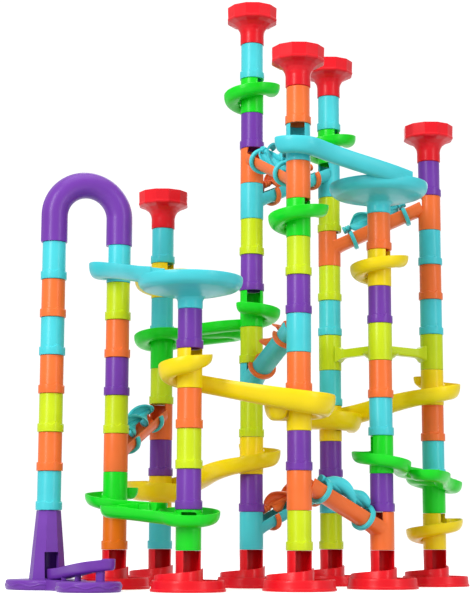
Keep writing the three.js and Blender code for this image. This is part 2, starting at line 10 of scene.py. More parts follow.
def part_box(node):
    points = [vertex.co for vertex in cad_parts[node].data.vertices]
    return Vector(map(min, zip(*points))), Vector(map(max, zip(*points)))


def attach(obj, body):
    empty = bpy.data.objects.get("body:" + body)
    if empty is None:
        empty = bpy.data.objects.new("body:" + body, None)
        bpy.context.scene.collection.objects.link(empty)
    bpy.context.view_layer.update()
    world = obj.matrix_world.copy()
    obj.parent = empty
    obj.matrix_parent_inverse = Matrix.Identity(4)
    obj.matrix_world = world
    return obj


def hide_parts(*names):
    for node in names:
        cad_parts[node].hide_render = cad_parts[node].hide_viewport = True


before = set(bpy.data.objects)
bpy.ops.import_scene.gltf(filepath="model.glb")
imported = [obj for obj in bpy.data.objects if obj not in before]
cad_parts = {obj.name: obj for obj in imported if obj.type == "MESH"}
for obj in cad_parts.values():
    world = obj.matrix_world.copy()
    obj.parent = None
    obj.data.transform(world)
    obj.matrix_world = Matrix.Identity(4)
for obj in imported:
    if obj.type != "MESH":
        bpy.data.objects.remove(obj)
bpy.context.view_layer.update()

# ---- Driving dimensions, in metres ----

MM = 0.001
P = 41 * MM  # the pitch: the height of one tube
GAP = 0.3 * MM  # between one piece and the piece it stands on
WALL = 1.6 * MM
TUBE_R = 0.307 * P
SLEEVE_R = 0.341 * P  # collar of a tube
BODY_R = 0.318 * P  # body of a special piece
BORE_R = 10.5 * MM
COLLAR_H = 8.2 * MM
WRAP_R = 0.55 * P  # centre line of a channel that runs round a column
LANE_HALF = 9.7 * MM
EDGE = 0.45 * MM  # the usual rounding of a moulded edge

SLIDE_DEPTH = 0.40 * P
ZIGZAG_DEPTH = 0.29 * P
SPIRAL_DEPTH = 0.3 * P
DISH_R = 1.33 * P

CHUTE_START = 1.73 * P  # mid-line of a chute over each column, above its lower end
CHUTE_END = 0.46 * P
CHUTE_HALF = 11.5 * MM
CHUTE_DEPTH = 13.5 * MM
AXLE_LIFT = 15.3 * MM
CLIP_AT = (0.24, 0.76)
CLIP_HALF = 13.4 * MM
CLIP_DROP = 8.6 * MM
SPINNER_R = 12.3 * MM
SPINNER_TURNS = 0.9

COLOURS = {
    "red": (0.82, 0.003, 0.012),
    "teal": (0.065, 0.62, 0.68),
    "orange": (0.93, 0.175, 0.032),
    "amber": (0.93, 0.19, 0.001),
    "lime": (0.60, 0.75, 0.004),
    "green": (0.002, 0.72, 0.010),
    "yellow": (0.96, 0.72, 0.0),
    "purple": (0.17, 0.038, 0.38),
}

# ---- Places, from the frame ----


def centre(node):
    low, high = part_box(node)
    return (low + high) / 2


COLUMN = {f"c{n}": centre(f"base_c{n}") for n in range(2, 10)}
COLUMN["c1"] = centre("tubes_c1_l1")
REACH = (COLUMN["c6"] - COLUMN["c5"]).xy.length
SLOPE = math.atan2(CHUTE_START - CHUTE_END, REACH)
RUN = REACH / math.cos(SLOPE)


def at_column(column, level=0.0, heading=0.0):
    """Where a piece stands: on a column, at a height in pitches above the trays' necks."""
    place = COLUMN[column]
    return Matrix.Translation((place.x, place.y, (level + 1) * P)) @ Matrix.Rotation(heading, 4, "Z")


def link_place(start, end, level):
    way = COLUMN[end] - COLUMN[start]
    return at_column(start, level, math.atan2(way.y, way.x))


# ---- Outlines ----


def rounded(outline, radius=EDGE, steps=3):
    """A closed outline with each corner turned into a small curve."""
    points = [Vector(p) for p in outline]
    softened = []
    for i, corner in enumerate(points):
        before = points[i - 1] - corner
        after = points[(i + 1) % len(points)] - corner
        if corner.x < 1e-9 or min(before.length, after.length) < 1e-9:
            softened.append(corner)
            continue
        a = corner + before.normalized() * min(radius, 0.45 * before.length)
        b = corner + after.normalized() * min(radius, 0.45 * after.length)
        for k in range(steps + 1):
            t = k / steps
            softened.append(a.lerp(corner, t).lerp(corner.lerp(b, t), t))
    return softened


def u_sides(half, depth, fullness, wall, count):
    """The outer side, right rim and inner side of a U-shaped channel, in order round its section."""
    def side(h, d):
        points = []
        for i in range(2 * count + 1):
            angle = math.pi * i / (2 * count)
            across = -math.copysign(abs(math.cos(angle)) ** fullness, math.cos(angle)) * h
            points.append(Vector((across, -d * math.sin(angle) ** fullness)))
        return points
    rim = [Vector((half - share * wall, 0.35 * wall)) for share in (0.22, 0.78)]
    return side(half, depth), rim, side(half - wall, depth - wall)[::-1]


FULLNESS = 0.85  # 1 makes the section of a channel an ellipse, less makes it boxier


def u_section(half, depth, fullness=FULLNESS, wall=WALL, count=8):
    """The section of a channel: a round-bottomed U with rounded rims, its rim line at height 0."""
    outer, rim, inner = u_sides(half, depth, fullness, wall, count)
    return outer + rim + inner + [Vector((-p.x, p.y)) for p in reversed(rim)]


def arc(x, y, radius, start, stop, z0, z1, step=4.0, last_radius=None):
    """Points round an arc, angles in degrees, the height running from z0 to z1."""
    count = max(2, round(abs(stop - start) / step))
    growth = 0 if last_radius is None else last_radius - radius
    points = []
    for i in range(count + 1):
        t = i / count
        angle = math.radians(start + (stop - start) * t)
        way = Vector((math.cos(angle), math.sin(angle), 0))
        points.append(Vector((x, y, z0 + (z1 - z0) * t)) + way * (radius + growth * t))
    return points


def bend(start, heading0, end, heading1, pull, z0, z1, count=24):
    """Points on a curve that leaves one point at one heading and reaches another at another."""
    a, d = Vector(start), Vector(end)
    b = a + pull * Vector((math.cos(math.radians(heading0)), math.sin(math.radians(heading0))))
    c = d - pull * Vector((math.cos(math.radians(heading1)), math.sin(math.radians(heading1))))
    points = []
    for i in range(count + 1):
        t = i / count
        flat = a * (1 - t) ** 3 + 3 * b * t * (1 - t) ** 2 + 3 * c * t * t * (1 - t) + d * t ** 3
        points.append(Vector((flat.x, flat.y, z0 + (z1 - z0) * t)))
    return points


def stations(*legs):
    """Places along the legs, each with its left-hand side and up, the slope smoothed over the joints."""
    points = [p.copy() for p in legs[0]]
    for leg in legs[1:]:
        points += [p.copy() for p in leg[1:]]
    for _ in range(6):
        heights = [p.z for p in points]
        for i in range(1, len(points) - 1):
            points[i].z = (heights[i - 1] + 2 * heights[i] + heights[i + 1]) / 4
    rows = []
    for i, place in enumerate(points):
        ahead = points[min(i + 1, len(points) - 1)] - points[max(i - 1, 0)]
        flat = Vector((ahead.x, ahead.y, 0)).normalized()
        rows.append((place, Vector((-flat.y, flat.x, 0)), Vector((0, 0, 1))))
    return rows


def sizes_along(legs, marks):
    """The size of a channel at every station, from its size at the start and at the end of each leg."""
    sizes = [marks[0]]
    for leg, start, end in zip(legs, marks, marks[1:]):
        steps = len(leg) - 1
        sizes += [start + (end - start) * i / steps for i in range(1, steps + 1)]
    return sizes


# ---- Solids ----


def solid(corners, faces):
    mesh = bpy.data.meshes.new("solid")
    mesh.from_pydata([tuple(c) for c in corners], [], faces)
    work = bmesh.new()
    work.from_mesh(mesh)
    bmesh.ops.recalc_face_normals(work, faces=work.faces)
    work.to_mesh(mesh)
    work.free()
    return mesh


def lathe(outline, sides=64, shape=None, turn=2 * math.pi):
    """A closed outline of (radius, height) points turned about Z. shape may move each point."""
    whole = turn > 6.28
    columns = sides if whole else sides + 1
    corners, rings = [], []
    for radius, height in outline:
        if radius < 1e-9:
            rings.append([len(corners)] * columns)
            corners.append((0, 0, height))
            continue
        rings.append(list(range(len(corners), len(corners) + columns)))
        for i in range(columns):
            angle = turn * i / sides
            r, z = shape(angle, radius, height) if shape else (radius, height)
            corners.append((r * math.cos(angle), r * math.sin(angle), z))
    faces = []
    for k, here in enumerate(rings):
        there = rings[(k + 1) % len(rings)]
        for i in range(sides):
            j = (i + 1) % columns
            face = list(dict.fromkeys((here[i], here[j], there[j], there[i])))
            if len(face) > 2:
                faces.append(face)
    if not whole:
        faces.append([ring[0] for ring in rings])
        faces.append([ring[-1] for ring in rings])
    return solid(corners, faces)


def loft(rings, closed=False):
    """A solid skin over rings of points that all have the same count."""
    count = len(rings[0])
    corners = [point for ring in rings for point in ring]
    faces = []
    for n in range(len(rings) if closed else len(rings) - 1):
        here, there = n * count, ((n + 1) % len(rings)) * count
        for i in range(count):
            j = (i + 1) % count
            faces.append((here + i, here + j, there + j, there + i))
    if not closed:
        faces.append(tuple(range(count)))
        faces.append(tuple(range((len(rings) - 1) * count, len(rings) * count)))
    return solid(corners, faces)


def sweep(rows, outline, closed=False, sizes=None):
    """A closed outline of (across, up) points carried along stations, with its size at each one."""
    rings = []
    for (place, left, up), size in zip(rows, sizes or [1.0] * len(rows)):
        rings.append([place + left * (a * size) + up * (b * size) for a, b in outline])
    return loft(rings, closed)


def joined(first, other, operation="UNION"):
    """Two solids made into one. Both are used up."""
    holders = [bpy.data.objects.new("holder", mesh) for mesh in (first, other)]
    for holder in holders:
        bpy.context.scene.collection.objects.link(holder)
    step = holders[0].modifiers.new("step", "BOOLEAN")
    step.operation = operation
    step.solver = "MANIFOLD"
    step.object = holders[1]
    ready = holders[0].evaluated_get(bpy.context.evaluated_depsgraph_get())
    mesh = bpy.data.meshes.new_from_object(ready)
    for holder in holders:
        bpy.data.objects.remove(holder)
    bpy.data.meshes.remove(first)
    bpy.data.meshes.remove(other)
    return mesh


def merged(*solids):
    result = solids[0]
    for other in solids[1:]:
        result = joined(result, other)
    return result


def cut(body, *tools):
    for tool in tools:
        body = joined(body, tool, "DIFFERENCE")
    return body


def moved(mesh, matrix):
    mesh.transform(matrix)
    return mesh


def shifted(mesh, x=0.0, y=0.0, z=0.0):
    return moved(mesh, Matrix.Translation((x, y, z)))


def block(x0, x1, width, low, high, heading=0.0, corner=1.2 * MM):
    """A bar from x0 to x1 with its long edges rounded, turned about Z to a heading in degrees."""
    half = width / 2
    outline = rounded([(half, low), (half, high), (-half, high), (-half, low)], corner, 4)
    rows = [(Vector((x, 0, 0)), Vector((0, 1, 0)), Vector((0, 0, 1))) for x in (x0, x1)]
    return moved(sweep(rows, outline), Matrix.Rotation(math.radians(heading), 4, "Z"))


def rod(radius, low, high, sides=32):
    return lathe([(0, low), (radius, low), (radius, high), (0, high)], sides)


def trough(rows, half, depth, fullness=FULLNESS, ends="both", sizes=None):
    """A channel along stations, its ends closed by half-round bows."""
    body = sweep(rows, u_section(half, depth, fullness), sizes=sizes)
    outer, rim, inner = u_sides(half, depth, fullness, WALL, 8)
    for name, index, sign in (("start", 0, -1), ("end", -1, 1)):
        if ends not in (name, "both"):
            continue
        size = sizes[index] if sizes else 1.0
        profile = [p * size for p in outer[8:] + rim + inner[:9]]
        profile[0].x = profile[-1].x = 0.0
        place, left, up = rows[index]
        right = -left * sign
        outward = up.cross(right)
        spot = Matrix((
            (right.x, outward.x, 0, place.x - outward.x * 0.02 * MM),
            (right.y, outward.y, 0, place.y - outward.y * 0.02 * MM),
            (0, 0, 1, place.z),
            (0, 0, 0, 1),
        ))
        body = joined(body, moved(lathe(profile, 16, turn=math.pi), spot))
    return body


def clearance(rows, half, depth, height=0.45 * P):
    """The space above the floor of a channel."""
    outer, _, inner = u_sides(half, depth, FULLNESS, WALL, 6)
    inner = inner[::-1]
    lift = Vector((0, height))
    return sweep(rows, inner + [inner[-1] + lift, inner[0] + lift])


def sleeve(low, high, floor=None, sides=64):
    """The wide body of a special piece. A floor keeps a marble from falling straight through."""
    outline = [(BODY_R, low), (BODY_R, high), (BORE_R, high)]
    if floor is None:
        return lathe(rounded([(BORE_R, low)] + outline), sides)
    below = [(0, floor - WALL), (BORE_R, floor - WALL), (BORE_R, low)]
    return lathe(rounded(below + outline + [(BORE_R, floor), (0, floor)]), sides)


def opening(heading, low, high, width=15.5 * MM, reach=SLEEVE_R + 1.2 * MM, inside=3 * MM):
    """A cutter for the doorway between a bore and a channel."""
    return block(inside, reach, width, low, high, heading, 3 * MM)


# ---- Plain tubes ----

TUBE_TOP = P - GAP
NIB_AT = math.radians(-62)


def wavy(angle, r, z):
    """The collar's top edge: a low wave with one small nib."""
    if abs(z - COLLAR_H) > 1.5 * MM:
        return r, z
    apart = math.remainder(angle - NIB_AT, 2 * math.pi)
    nib = 1.8 * MM * math.exp(-((apart / 0.13) ** 2))
    return r, z + 0.8 * MM * math.sin(6 * angle + 0.6) + nib


def tube():
    return lathe(rounded([
        (BORE_R, 0), (SLEEVE_R, 0), (SLEEVE_R, COLLAR_H), (TUBE_R, COLLAR_H + 0.3 * MM),
        (TUBE_R, TUBE_TOP), (BORE_R, TUBE_TOP),
    ]), 80, wavy)


# ---- Slides ----


def hug(size):
    """How far from a column's axis a channel of this size runs while it touches the body."""
    return WRAP_R + (size - 1) * LANE_HALF


def s_slide():
    """Two thirds of a turn round the first column, a sweep across, and a deep scoop round the other."""
    tip, scoop = 0.62, 1.31
    legs = (
        arc(0, 0, hug(tip), -36, -105, 1.83 * P, 1.73 * P, last_radius=hug(1)),
        arc(0, 0, hug(1), -105, -270, 1.73 * P, 1.42 * P),
        bend((0, hug(1)), 0, (REACH, -hug(scoop)), 0, 0.45 * REACH, 1.42 * P, 0.91 * P, 30),
        arc(REACH, 0, hug(scoop), -90, 0, 0.91 * P, 0.86 * P),
        arc(REACH, 0, hug(scoop), 0, 188, 0.86 * P, 0.72 * P, last_radius=hug(1.2)),
    )
    sizes = sizes_along(legs, (tip, 1, 1, scoop, scoop, 1.2))
    floor = 1.49 * P
    body = merged(
        sleeve(P, 2 * P - GAP, floor),
        shifted(sleeve(0, P - GAP), REACH),
        trough(stations(*legs), LANE_HALF, SLIDE_DEPTH, sizes=sizes),
    )
    return cut(
        body,
        opening(-62, floor, 2.1 * P),
        shifted(opening(160, 0.28 * P, 0.76 * P), REACH),
    )


LANES = (-0.05 * P, -0.53 * P, -1.01 * P)
TURN_FAR = 1.7 * P
TURN_NEAR = 1.1 * P
BOWL_RIM = 0.95 * P
BOWL_TILT = 0.12 * P
BOWL_LOW_SIDE = math.radians(-40)


def catch_bowl():
    """A ring channel round the lower column that leans towards its outlet."""
    rows = []
    for i in range(72):
        angle = 2 * math.pi * i / 72
        outward = Vector((math.cos(angle), math.sin(angle), 0))
        place = outward * WRAP_R
        place.z = BOWL_RIM - BOWL_TILT * math.cos(angle - BOWL_LOW_SIDE)
        rows.append((place, -outward, Vector((0, 0, 1))))
    return sweep(rows, u_section(LANE_HALF, ZIGZAG_DEPTH), closed=True)


def zigzag_slide():
    """Over half a turn round the first column, three lanes side by side, and the catch bowl."""
    first, second, third = LANES
    turn_r = (first - second) / 2
    leave = (WRAP_R * math.cos(math.radians(-60)), WRAP_R * math.sin(math.radians(-60)))
    entry = (REACH + WRAP_R * math.cos(math.radians(-100)), WRAP_R * math.sin(math.radians(-100)))
    rows = stations(
        arc(0, 0, WRAP_R, 98, 226, 1.59 * P, 1.43 * P),
        arc(0, 0, WRAP_R, 226, 300, 1.43 * P, 1.28 * P),
        bend(leave, 30, (TURN_NEAR, first), 0, 0.3 * P, 1.28 * P, 1.2 * P, 10),
        bend((TURN_NEAR, first), 0, (TURN_FAR, first), 0, 0.2 * P, 1.2 * P, 1.17 * P, 5),
        arc(TURN_FAR, (first + second) / 2, turn_r, 90, -90, 1.17 * P, 1.14 * P, 9),
        bend((TURN_FAR, second), 180, (TURN_NEAR, second), 180, 0.2 * P, 1.14 * P, 1.12 * P, 5),
        arc(TURN_NEAR, (second + third) / 2, turn_r, 90, 270, 1.12 * P, 1.08 * P, 9),
        bend((TURN_NEAR, third), 0, entry, -5, 0.8 * P, 1.08 * P, 0.9 * P, 16),
    )
    room = shifted(rod(SLEEVE_R + 0.5 * MM, P - GAP, 1.2 * P), REACH)
    floor = 1.36 * P
    lanes = trough(rows, LANE_HALF, ZIGZAG_DEPTH, ends="start")
    bowl = joined(shifted(catch_bowl(), REACH), lanes)
    bowl = cut(bowl, clearance(rows[-10:], LANE_HALF, ZIGZAG_DEPTH), room)
    body = merged(sleeve(P, 2 * P - GAP, floor), bowl, shifted(sleeve(0, P - GAP), REACH))
    return cut(
        body,
        opening(130, floor, 2.1 * P),
        shifted(opening(math.degrees(BOWL_LOW_SIDE), 0.56 * P, 0.93 * P), REACH),
    )


def spiral():
    rows = stations(arc(0, 0, WRAP_R, 12, -247, 0.85 * P, 0.43 * P))
    floor = 0.6 * P
    body = merged(sleeve(0, P - GAP, floor), trough(rows, LANE_HALF, SPIRAL_DEPTH))
    return cut(body, opening(-25, floor, 1.1 * P), opening(125, 0.15 * P, 0.54 * P))


# ---- Chutes, clip rings and spinners ----

# From the frame of the chute, +X down its mid-line and +Z square to it, to the frame of the piece.
CHUTE_TO_PIECE = Matrix.Translation((0, 0, CHUTE_START)) @ Matrix.Rotation(SLOPE, 4, "Y")


def chute_rows(x0, x1, count=40):
    rows = []
    for i in range(count + 1):
        x = x0 + (x1 - x0) * i / count
        rows.append((Vector((x, 0, CHUTE_DEPTH / 2)), Vector((0, 1, 0)), Vector((0, 0, 1))))
    return rows


def flare(share):
    """A chute swells where it joins its two bodies."""
    near = min(share, 1 - share) * RUN
    return 1 + 0.10 * math.exp(-((near / (9 * MM)) ** 2))


def chute():
    deck = CHUTE_START - CHUTE_DEPTH / 2 - BORE_R * math.tan(SLOPE) + 2.5 * MM
    rows = chute_rows(BORE_R - MM, RUN - 4 * MM)
    swell = [flare(i / (len(rows) - 1)) for i in range(len(rows))]
    body = sweep(rows, u_section(CHUTE_HALF, CHUTE_DEPTH, 0.7), sizes=swell)
    space = clearance(chute_rows(4 * MM, RUN - 2 * MM, 1), CHUTE_HALF, CHUTE_DEPTH)
    body = merged(
        sleeve(P, 2 * P - GAP),
        shifted(sleeve(0, P - GAP), REACH),
        moved(body, CHUTE_TO_PIECE),
    )
    body = cut(
        body,
        moved(space, CHUTE_TO_PIECE),
        shifted(rod(BORE_R, -MM, P), REACH),
        opening(0, deck + 2 * MM, 2.1 * P, 17 * MM),
    )
    return joined(body, rod(BORE_R + 0.5 * MM, deck - WALL, deck))


def clip():
    """A rounded band from the axle's boss, round one side of the chute and under it."""
    half_height = (AXLE_LIFT + CLIP_DROP) / 2
    rows = []
    for i in range(37):
        angle = math.radians(104 + (380 - 104) * i / 36)
        across, rise = math.cos(angle), math.sin(angle)
        place = Vector((0, CLIP_HALF * across, half_height * (1 + rise) - CLIP_DROP))
        rows.append((place, Vector((1, 0, 0)), Vector((0, across, rise)).normalized()))
    half, inside, outside = 2.3 * MM, -1.3 * MM, 2.7 * MM
    corners = [(-half, inside), (half, inside), (half, outside), (-half, outside)]
    band = sweep(rows, rounded(corners, 1.7 * MM, 4))
    rings = lathe(rounded([
        (2.4 * MM, -2.4 * MM), (4.3 * MM, -2.4 * MM), (4.3 * MM, -1.2 * MM), (3.6 * MM, -0.9 * MM),
        (3.6 * MM, 0.9 * MM), (4.3 * MM, 1.2 * MM), (4.3 * MM, 2.4 * MM), (2.4 * MM, 2.4 * MM),
    ], 0.3 * MM), 32)
    rings = moved(rings, Matrix.Translation((0, 0, AXLE_LIFT)) @ Matrix.Rotation(math.pi / 2, 4, "Y"))
    return merged(band, rings)


def vane_section():
    """Two curled vanes back to back: an S whose tips have a bead."""
    curl = 0.49 * SPINNER_R
    thick = 0.75 * MM
    steps = 16
    outer, inner = [], []
    for i in range(steps + 1):
        angle = math.radians(168 * i / steps)
        swell = 1.0 + 2.0 * max(0.0, i / steps - 0.8)
        for line, sign in ((outer, 1), (inner, -1)):
            radius = curl + sign * thick * swell
            line.append(Vector((curl - radius * math.cos(angle), radius * math.sin(angle))))
    one = outer + inner[::-1][:-1]
    other = [Vector((-p.x, -p.y)) for p in one]
    return one, other


def spinner():
    """The screw that marbles turn as they pass, on its axle."""
    first = CLIP_AT[0] * RUN
    last = CLIP_AT[1] * RUN
    low, high = first + 3.2 * MM, last - 3.2 * MM
    count = 48
    rows, sizes = [], []
    for i in range(count + 1):
        t = i / count
        turn = 2 * math.pi * SPINNER_TURNS * t
        left = Vector((0, math.cos(turn), math.sin(turn)))
        up = Vector((0, -math.sin(turn), math.cos(turn)))
        rows.append((Vector((low + (high - low) * t, 0, 0)), left, up))
        sizes.append(0.62 + 0.38 * min(1.0, 6 * min(t, 1 - t)) ** 0.6)
    vanes = [sweep(rows, outline, sizes=sizes) for outline in vane_section()]
    slim, hub, knob = 1.9 * MM, 3.0 * MM, 4.4 * MM
    half = [(slim, 0.4 * MM), (slim, 6.0 * MM), (knob, 6.2 * MM), (knob, 9.4 * MM), (0, 9.4 * MM)]
    outline = [(radius, low - along) for radius, along in reversed(half)] + [(hub, low), (hub, high)]
    outline += [(radius, high + along) for radius, along in half]
    axle = lathe(rounded(outline, 0.7 * MM, 4), 32)
    return merged(moved(axle, Matrix.Rotation(math.pi / 2, 4, "Y")), *vanes)


# ---- Dishes ----


def dish():
    """A shallow dish on the lower column, fed along its rim by a trough from the higher one."""
    rim = DISH_R
    outline = [
        (BORE_R, 0), (BODY_R, 0), (BODY_R, 0.22 * P), (BODY_R + 2.5 * MM, 0.30 * P),
        (0.60 * rim, 0.375 * P), (0.88 * rim, 0.47 * P), (0.97 * rim, 0.56 * P), (rim, 0.68 * P),
        (rim, 0.80 * P), (rim - WALL, 0.80 * P), (rim - WALL, 0.69 * P), (0.945 * rim, 0.60 * P),
        (0.87 * rim, 0.47 * P + WALL), (0.58 * rim, 0.375 * P + WALL), (BORE_R + 2 * MM, 0.29 * P + WALL),
        (BORE_R, 0.24 * P),
    ]
    bowl = shifted(lathe(rounded(outline, 2.2 * MM, 4), 112), REACH)
    lane = -(rim - LANE_HALF)
    rows = stations(
        arc(0, 0, WRAP_R, 186, 270, 1.54 * P, 1.48 * P),
        bend((0, -WRAP_R), 0, (REACH, lane), 0, 0.4 * REACH, 1.48 * P, 0.92 * P, 36),
    )
    floor = 1.2 * P
    feed = trough(rows, LANE_HALF, SLIDE_DEPTH, ends="start")
    bowl = cut(joined(bowl, feed), clearance(rows[-16:], LANE_HALF, SLIDE_DEPTH, 0.3 * P))
    return cut(joined(sleeve(P, 2 * P - GAP, floor), bowl), opening(-135, floor, 2.1 * P))


# ---- Trays, funnels, U-bend, brace and launch tower ----

TRAY_R = 38.4 * MM
TRAY_WALL_R = 36.8 * MM
TRAY_FLOOR = 2.5 * MM
NECK_R = 0.315 * P
DOOR_HEADING = -68


def guide_wall():
    """The low wall that leaves the neck beside the doorway and winds round to the far side."""
    top, end = 0.57 * P, 0.38 * P
    turn_in = Vector((-16 * MM, -27.8 * MM))
    points = bend((14.2 * MM, 4 * MM), -90, turn_in, 150, 27 * MM, top, 0.46 * P, 20)
    for i in range(1, 25):
        t = i / 24
        angle = math.radians(-120 - 70 * t)
        radius = (32.1 + 1.4 * t) * MM
        height = 0.46 * P + (end - 0.46 * P) * t
        points.append(Vector((radius * math.cos(angle), radius * math.sin(angle), height)))
    rings = []
    for place, left, up in stations(points):
        ring = []
        for across, share in ((-0.9, 0), (0.9, 0), (0.9, 0.96), (0.5, 1), (-0.5, 1), (-0.9, 0.96)):
            low = 0.6 * TRAY_FLOOR
            ring.append(place + left * (across * MM) + up * (low + (place.z - low) * share - place.z))
        rings.append(ring)
    return loft(rings)


def ramp():
    """The sloping floor between the neck and the guide wall."""
    rings = []
    for i in range(33):
        t = i / 32
        angle = math.radians(-62 - 122 * t)
        way = Vector((math.cos(angle), math.sin(angle), 0))
        outer = (25 + 7 * min(1.0, 2.2 * t) + 3 * t) * MM
        top = 0.26 * P * (1 - t) + TRAY_FLOOR * 1.05 * t
        ring = []
        for radius, height in ((12.2 * MM, 1.2 * MM), (outer, 1.2 * MM), (outer, top), (12.2 * MM, top)):
            ring.append(way * radius + Vector((0, 0, height)))
        rings.append(ring)
    return loft(rings)


def base():
    tray = lathe(rounded([
        (0, 0), (TRAY_R, 0), (TRAY_R, 2.2 * MM), (TRAY_WALL_R + 0.7 * MM, 3.0 * MM),
        (TRAY_WALL_R + 0.2 * MM, 9.4 * MM), (TRAY_WALL_R - 0.3 * MM, 11.5 * MM),
        (TRAY_WALL_R - WALL, 11.5 * MM), (TRAY_WALL_R - WALL, TRAY_FLOOR), (0, TRAY_FLOOR),
    ], 0.6 * MM), 112)
    neck = lathe(rounded([(BORE_R, 1.5 * MM), (NECK_R, 1.5 * MM), (NECK_R, P - GAP), (BORE_R, P - GAP)]), 64)
    neck = cut(neck, block(2 * MM, 13.7 * MM, 17.5 * MM, TRAY_FLOOR, 1.2 * P, DOOR_HEADING, 0.6 * MM))
    return merged(tray, neck, guide_wall(), ramp())


def faceted(sides, start, full):
    """Turns a round plan into one with flat sides, from one radius out to another."""
    def shape(angle, r, z):
        share = min(1.0, max(0.0, (r - start) / (full - start)))
        within = (angle + math.pi / sides) % (2 * math.pi / sides) - math.pi / sides
        flat = math.cos(math.pi / sides) / math.cos(within)
        return r * (1 + share * (flat - 1)), z
    return shape


def funnel():
    rim = 0.71 * P
    outline = [
        (BORE_R, 0), (0.33 * P, 0), (0.33 * P, 0.30 * P), (0.35 * P, 0.40 * P), (0.41 * P, 0.50 * P),
        (0.53 * P, 0.59 * P), (0.67 * P, 0.64 * P), (0.705 * P, 0.665 * P), (0.715 * P, 0.70 * P),
        (0.70 * P, 0.73 * P), (rim, 1.045 * P), (rim - WALL, 1.045 * P), (0.70 * P - WALL, 0.74 * P),
        (0.64 * P, 0.69 * P), (0.50 * P, 0.63 * P), (0.37 * P, 0.53 * P), (0.30 * P, 0.43 * P),
        (BORE_R, 0.36 * P),
    ]
    return lathe(rounded(outline, 0.9 * MM, 3), 120, faceted(12, 0.36 * P, 0.58 * P))


BEND_SPAN = (COLUMN["c2"] - COLUMN["c1"]).xy.length
BEND_LEG = 0.72 * P


def bend_pipe(radius, extra=0.0, rib=0.0):
    rows = []
    side = Vector((0, 1, 0))
    middle = BEND_SPAN / 2
    for i in range(7):
        height = -extra + (BEND_LEG + extra) * i / 6
        rows.append((Vector((-middle, 0, height)), side, Vector((-1, 0, 0))))
    for i in range(1, 48):
        angle = math.pi * (1 - i / 48)
        outward = Vector((math.cos(angle), 0, math.sin(angle)))
        rows.append((outward * middle + Vector((0, 0, BEND_LEG)), side, outward))
    for i in range(7):
        height = BEND_LEG - (BEND_LEG + extra) * i / 6
        rows.append((Vector((middle, 0, height)), side, Vector((1, 0, 0))))
    outline = []
    for i in range(60):
        angle = 2 * math.pi * i / 60
        swell = rib * math.exp(-(((angle - math.pi / 2) / 0.07) ** 2))
        outline.append(Vector((math.cos(angle), math.sin(angle))) * (radius + swell))
    return sweep(rows, outline)


def u_bend():
    return cut(bend_pipe(SLEEVE_R, rib=0.8 * MM), bend_pipe(BORE_R, extra=MM))


def brace():
    """Three sleeves held at the corners of a triangle by arms that meet in a small bowl."""
    home = COLUMN["c7"]
    corners = [(COLUMN[c] - home).xy for c in ("c7", "c8", "c9")]
    hub = sum(corners, Vector((0, 0))) / 3
    bowl = lathe(rounded([
        (0, 0.15 * P), (0.14 * P, 0.155 * P), (0.34 * P, 0.24 * P), (0.5 * P, 0.36 * P), (0.5 * P, 0.42 * P),
        (0.46 * P, 0.42 * P), (0.30 * P, 0.31 * P), (0.16 * P, 0.30 * P), (0.12 * P, 0.58 * P), (0, 0.6 * P),
    ], 0.9 * MM, 3), 56)
    body = shifted(bowl, hub.x, hub.y)
    for corner in corners:
        way = (hub - corner).to_3d()
        length = way.length
        forward = way.normalized()
        left = Vector((-forward.y, forward.x, 0))
        rows = []
        for i in range(25):
            t = i / 24
            reach = BORE_R + MM + (length - BORE_R - MM) * t
            place = corner.to_3d() + forward * reach
            place.z = (0.44 + 0.06 * t) * P
            rows.append((place, left, Vector((0, 0, 1))))
        half, rise = 0.11 * P, 0.12 * P
        outline = rounded([(-half, -rise), (half, -rise), (half, rise), (-half, rise)], 2.2 * MM, 4)
        swell = [1 + 0.9 * math.exp(-((i / 24 / 0.09) ** 2)) for i in range(25)]
        arm = sweep(rows, outline, sizes=swell)
        body = merged(body, arm, shifted(sleeve(0, P - GAP), corner.x, corner.y))
        body = cut(body, shifted(rod(BORE_R, -MM, P + MM), corner.x, corner.y))
    return body


PAD_R = 1.063 * P
PAD_H = 0.25 * P
LOBE_R = 0.8 * P
LOBE = Vector((1.25 * P, -1.97 * P, 0))


def wave_bead(radius, waves):
    """A raised wavy line round the side of a lobe of the foot."""
    rows = []
    for i in range(120):
        angle = 2 * math.pi * i / 120
        outward = Vector((math.cos(angle), math.sin(angle), 0))
        height = 0.13 * P + 1.3 * MM * math.sin(waves * angle)
        rows.append((outward * (radius - 0.25 * MM) + Vector((0, 0, height)), outward, Vector((0, 0, 1))))
    outline = [
        Vector((0.9 * MM * math.cos(a), 1.1 * MM * math.sin(a)))
        for a in (2 * math.pi * k / 8 for k in range(8))
    ]
    return sweep(rows, outline, closed=True)


def lobe(radius, waves):
    disc = lathe(rounded([
        (0, 0), (radius - 1.2 * MM, 0), (radius, 2.0 * MM), (radius - 0.3 * MM, PAD_H - 1.4 * MM),
        (radius - 1.7 * MM, PAD_H), (0, PAD_H),
    ], 0.8 * MM), 96)
    return joined(disc, wave_bead(radius, waves))


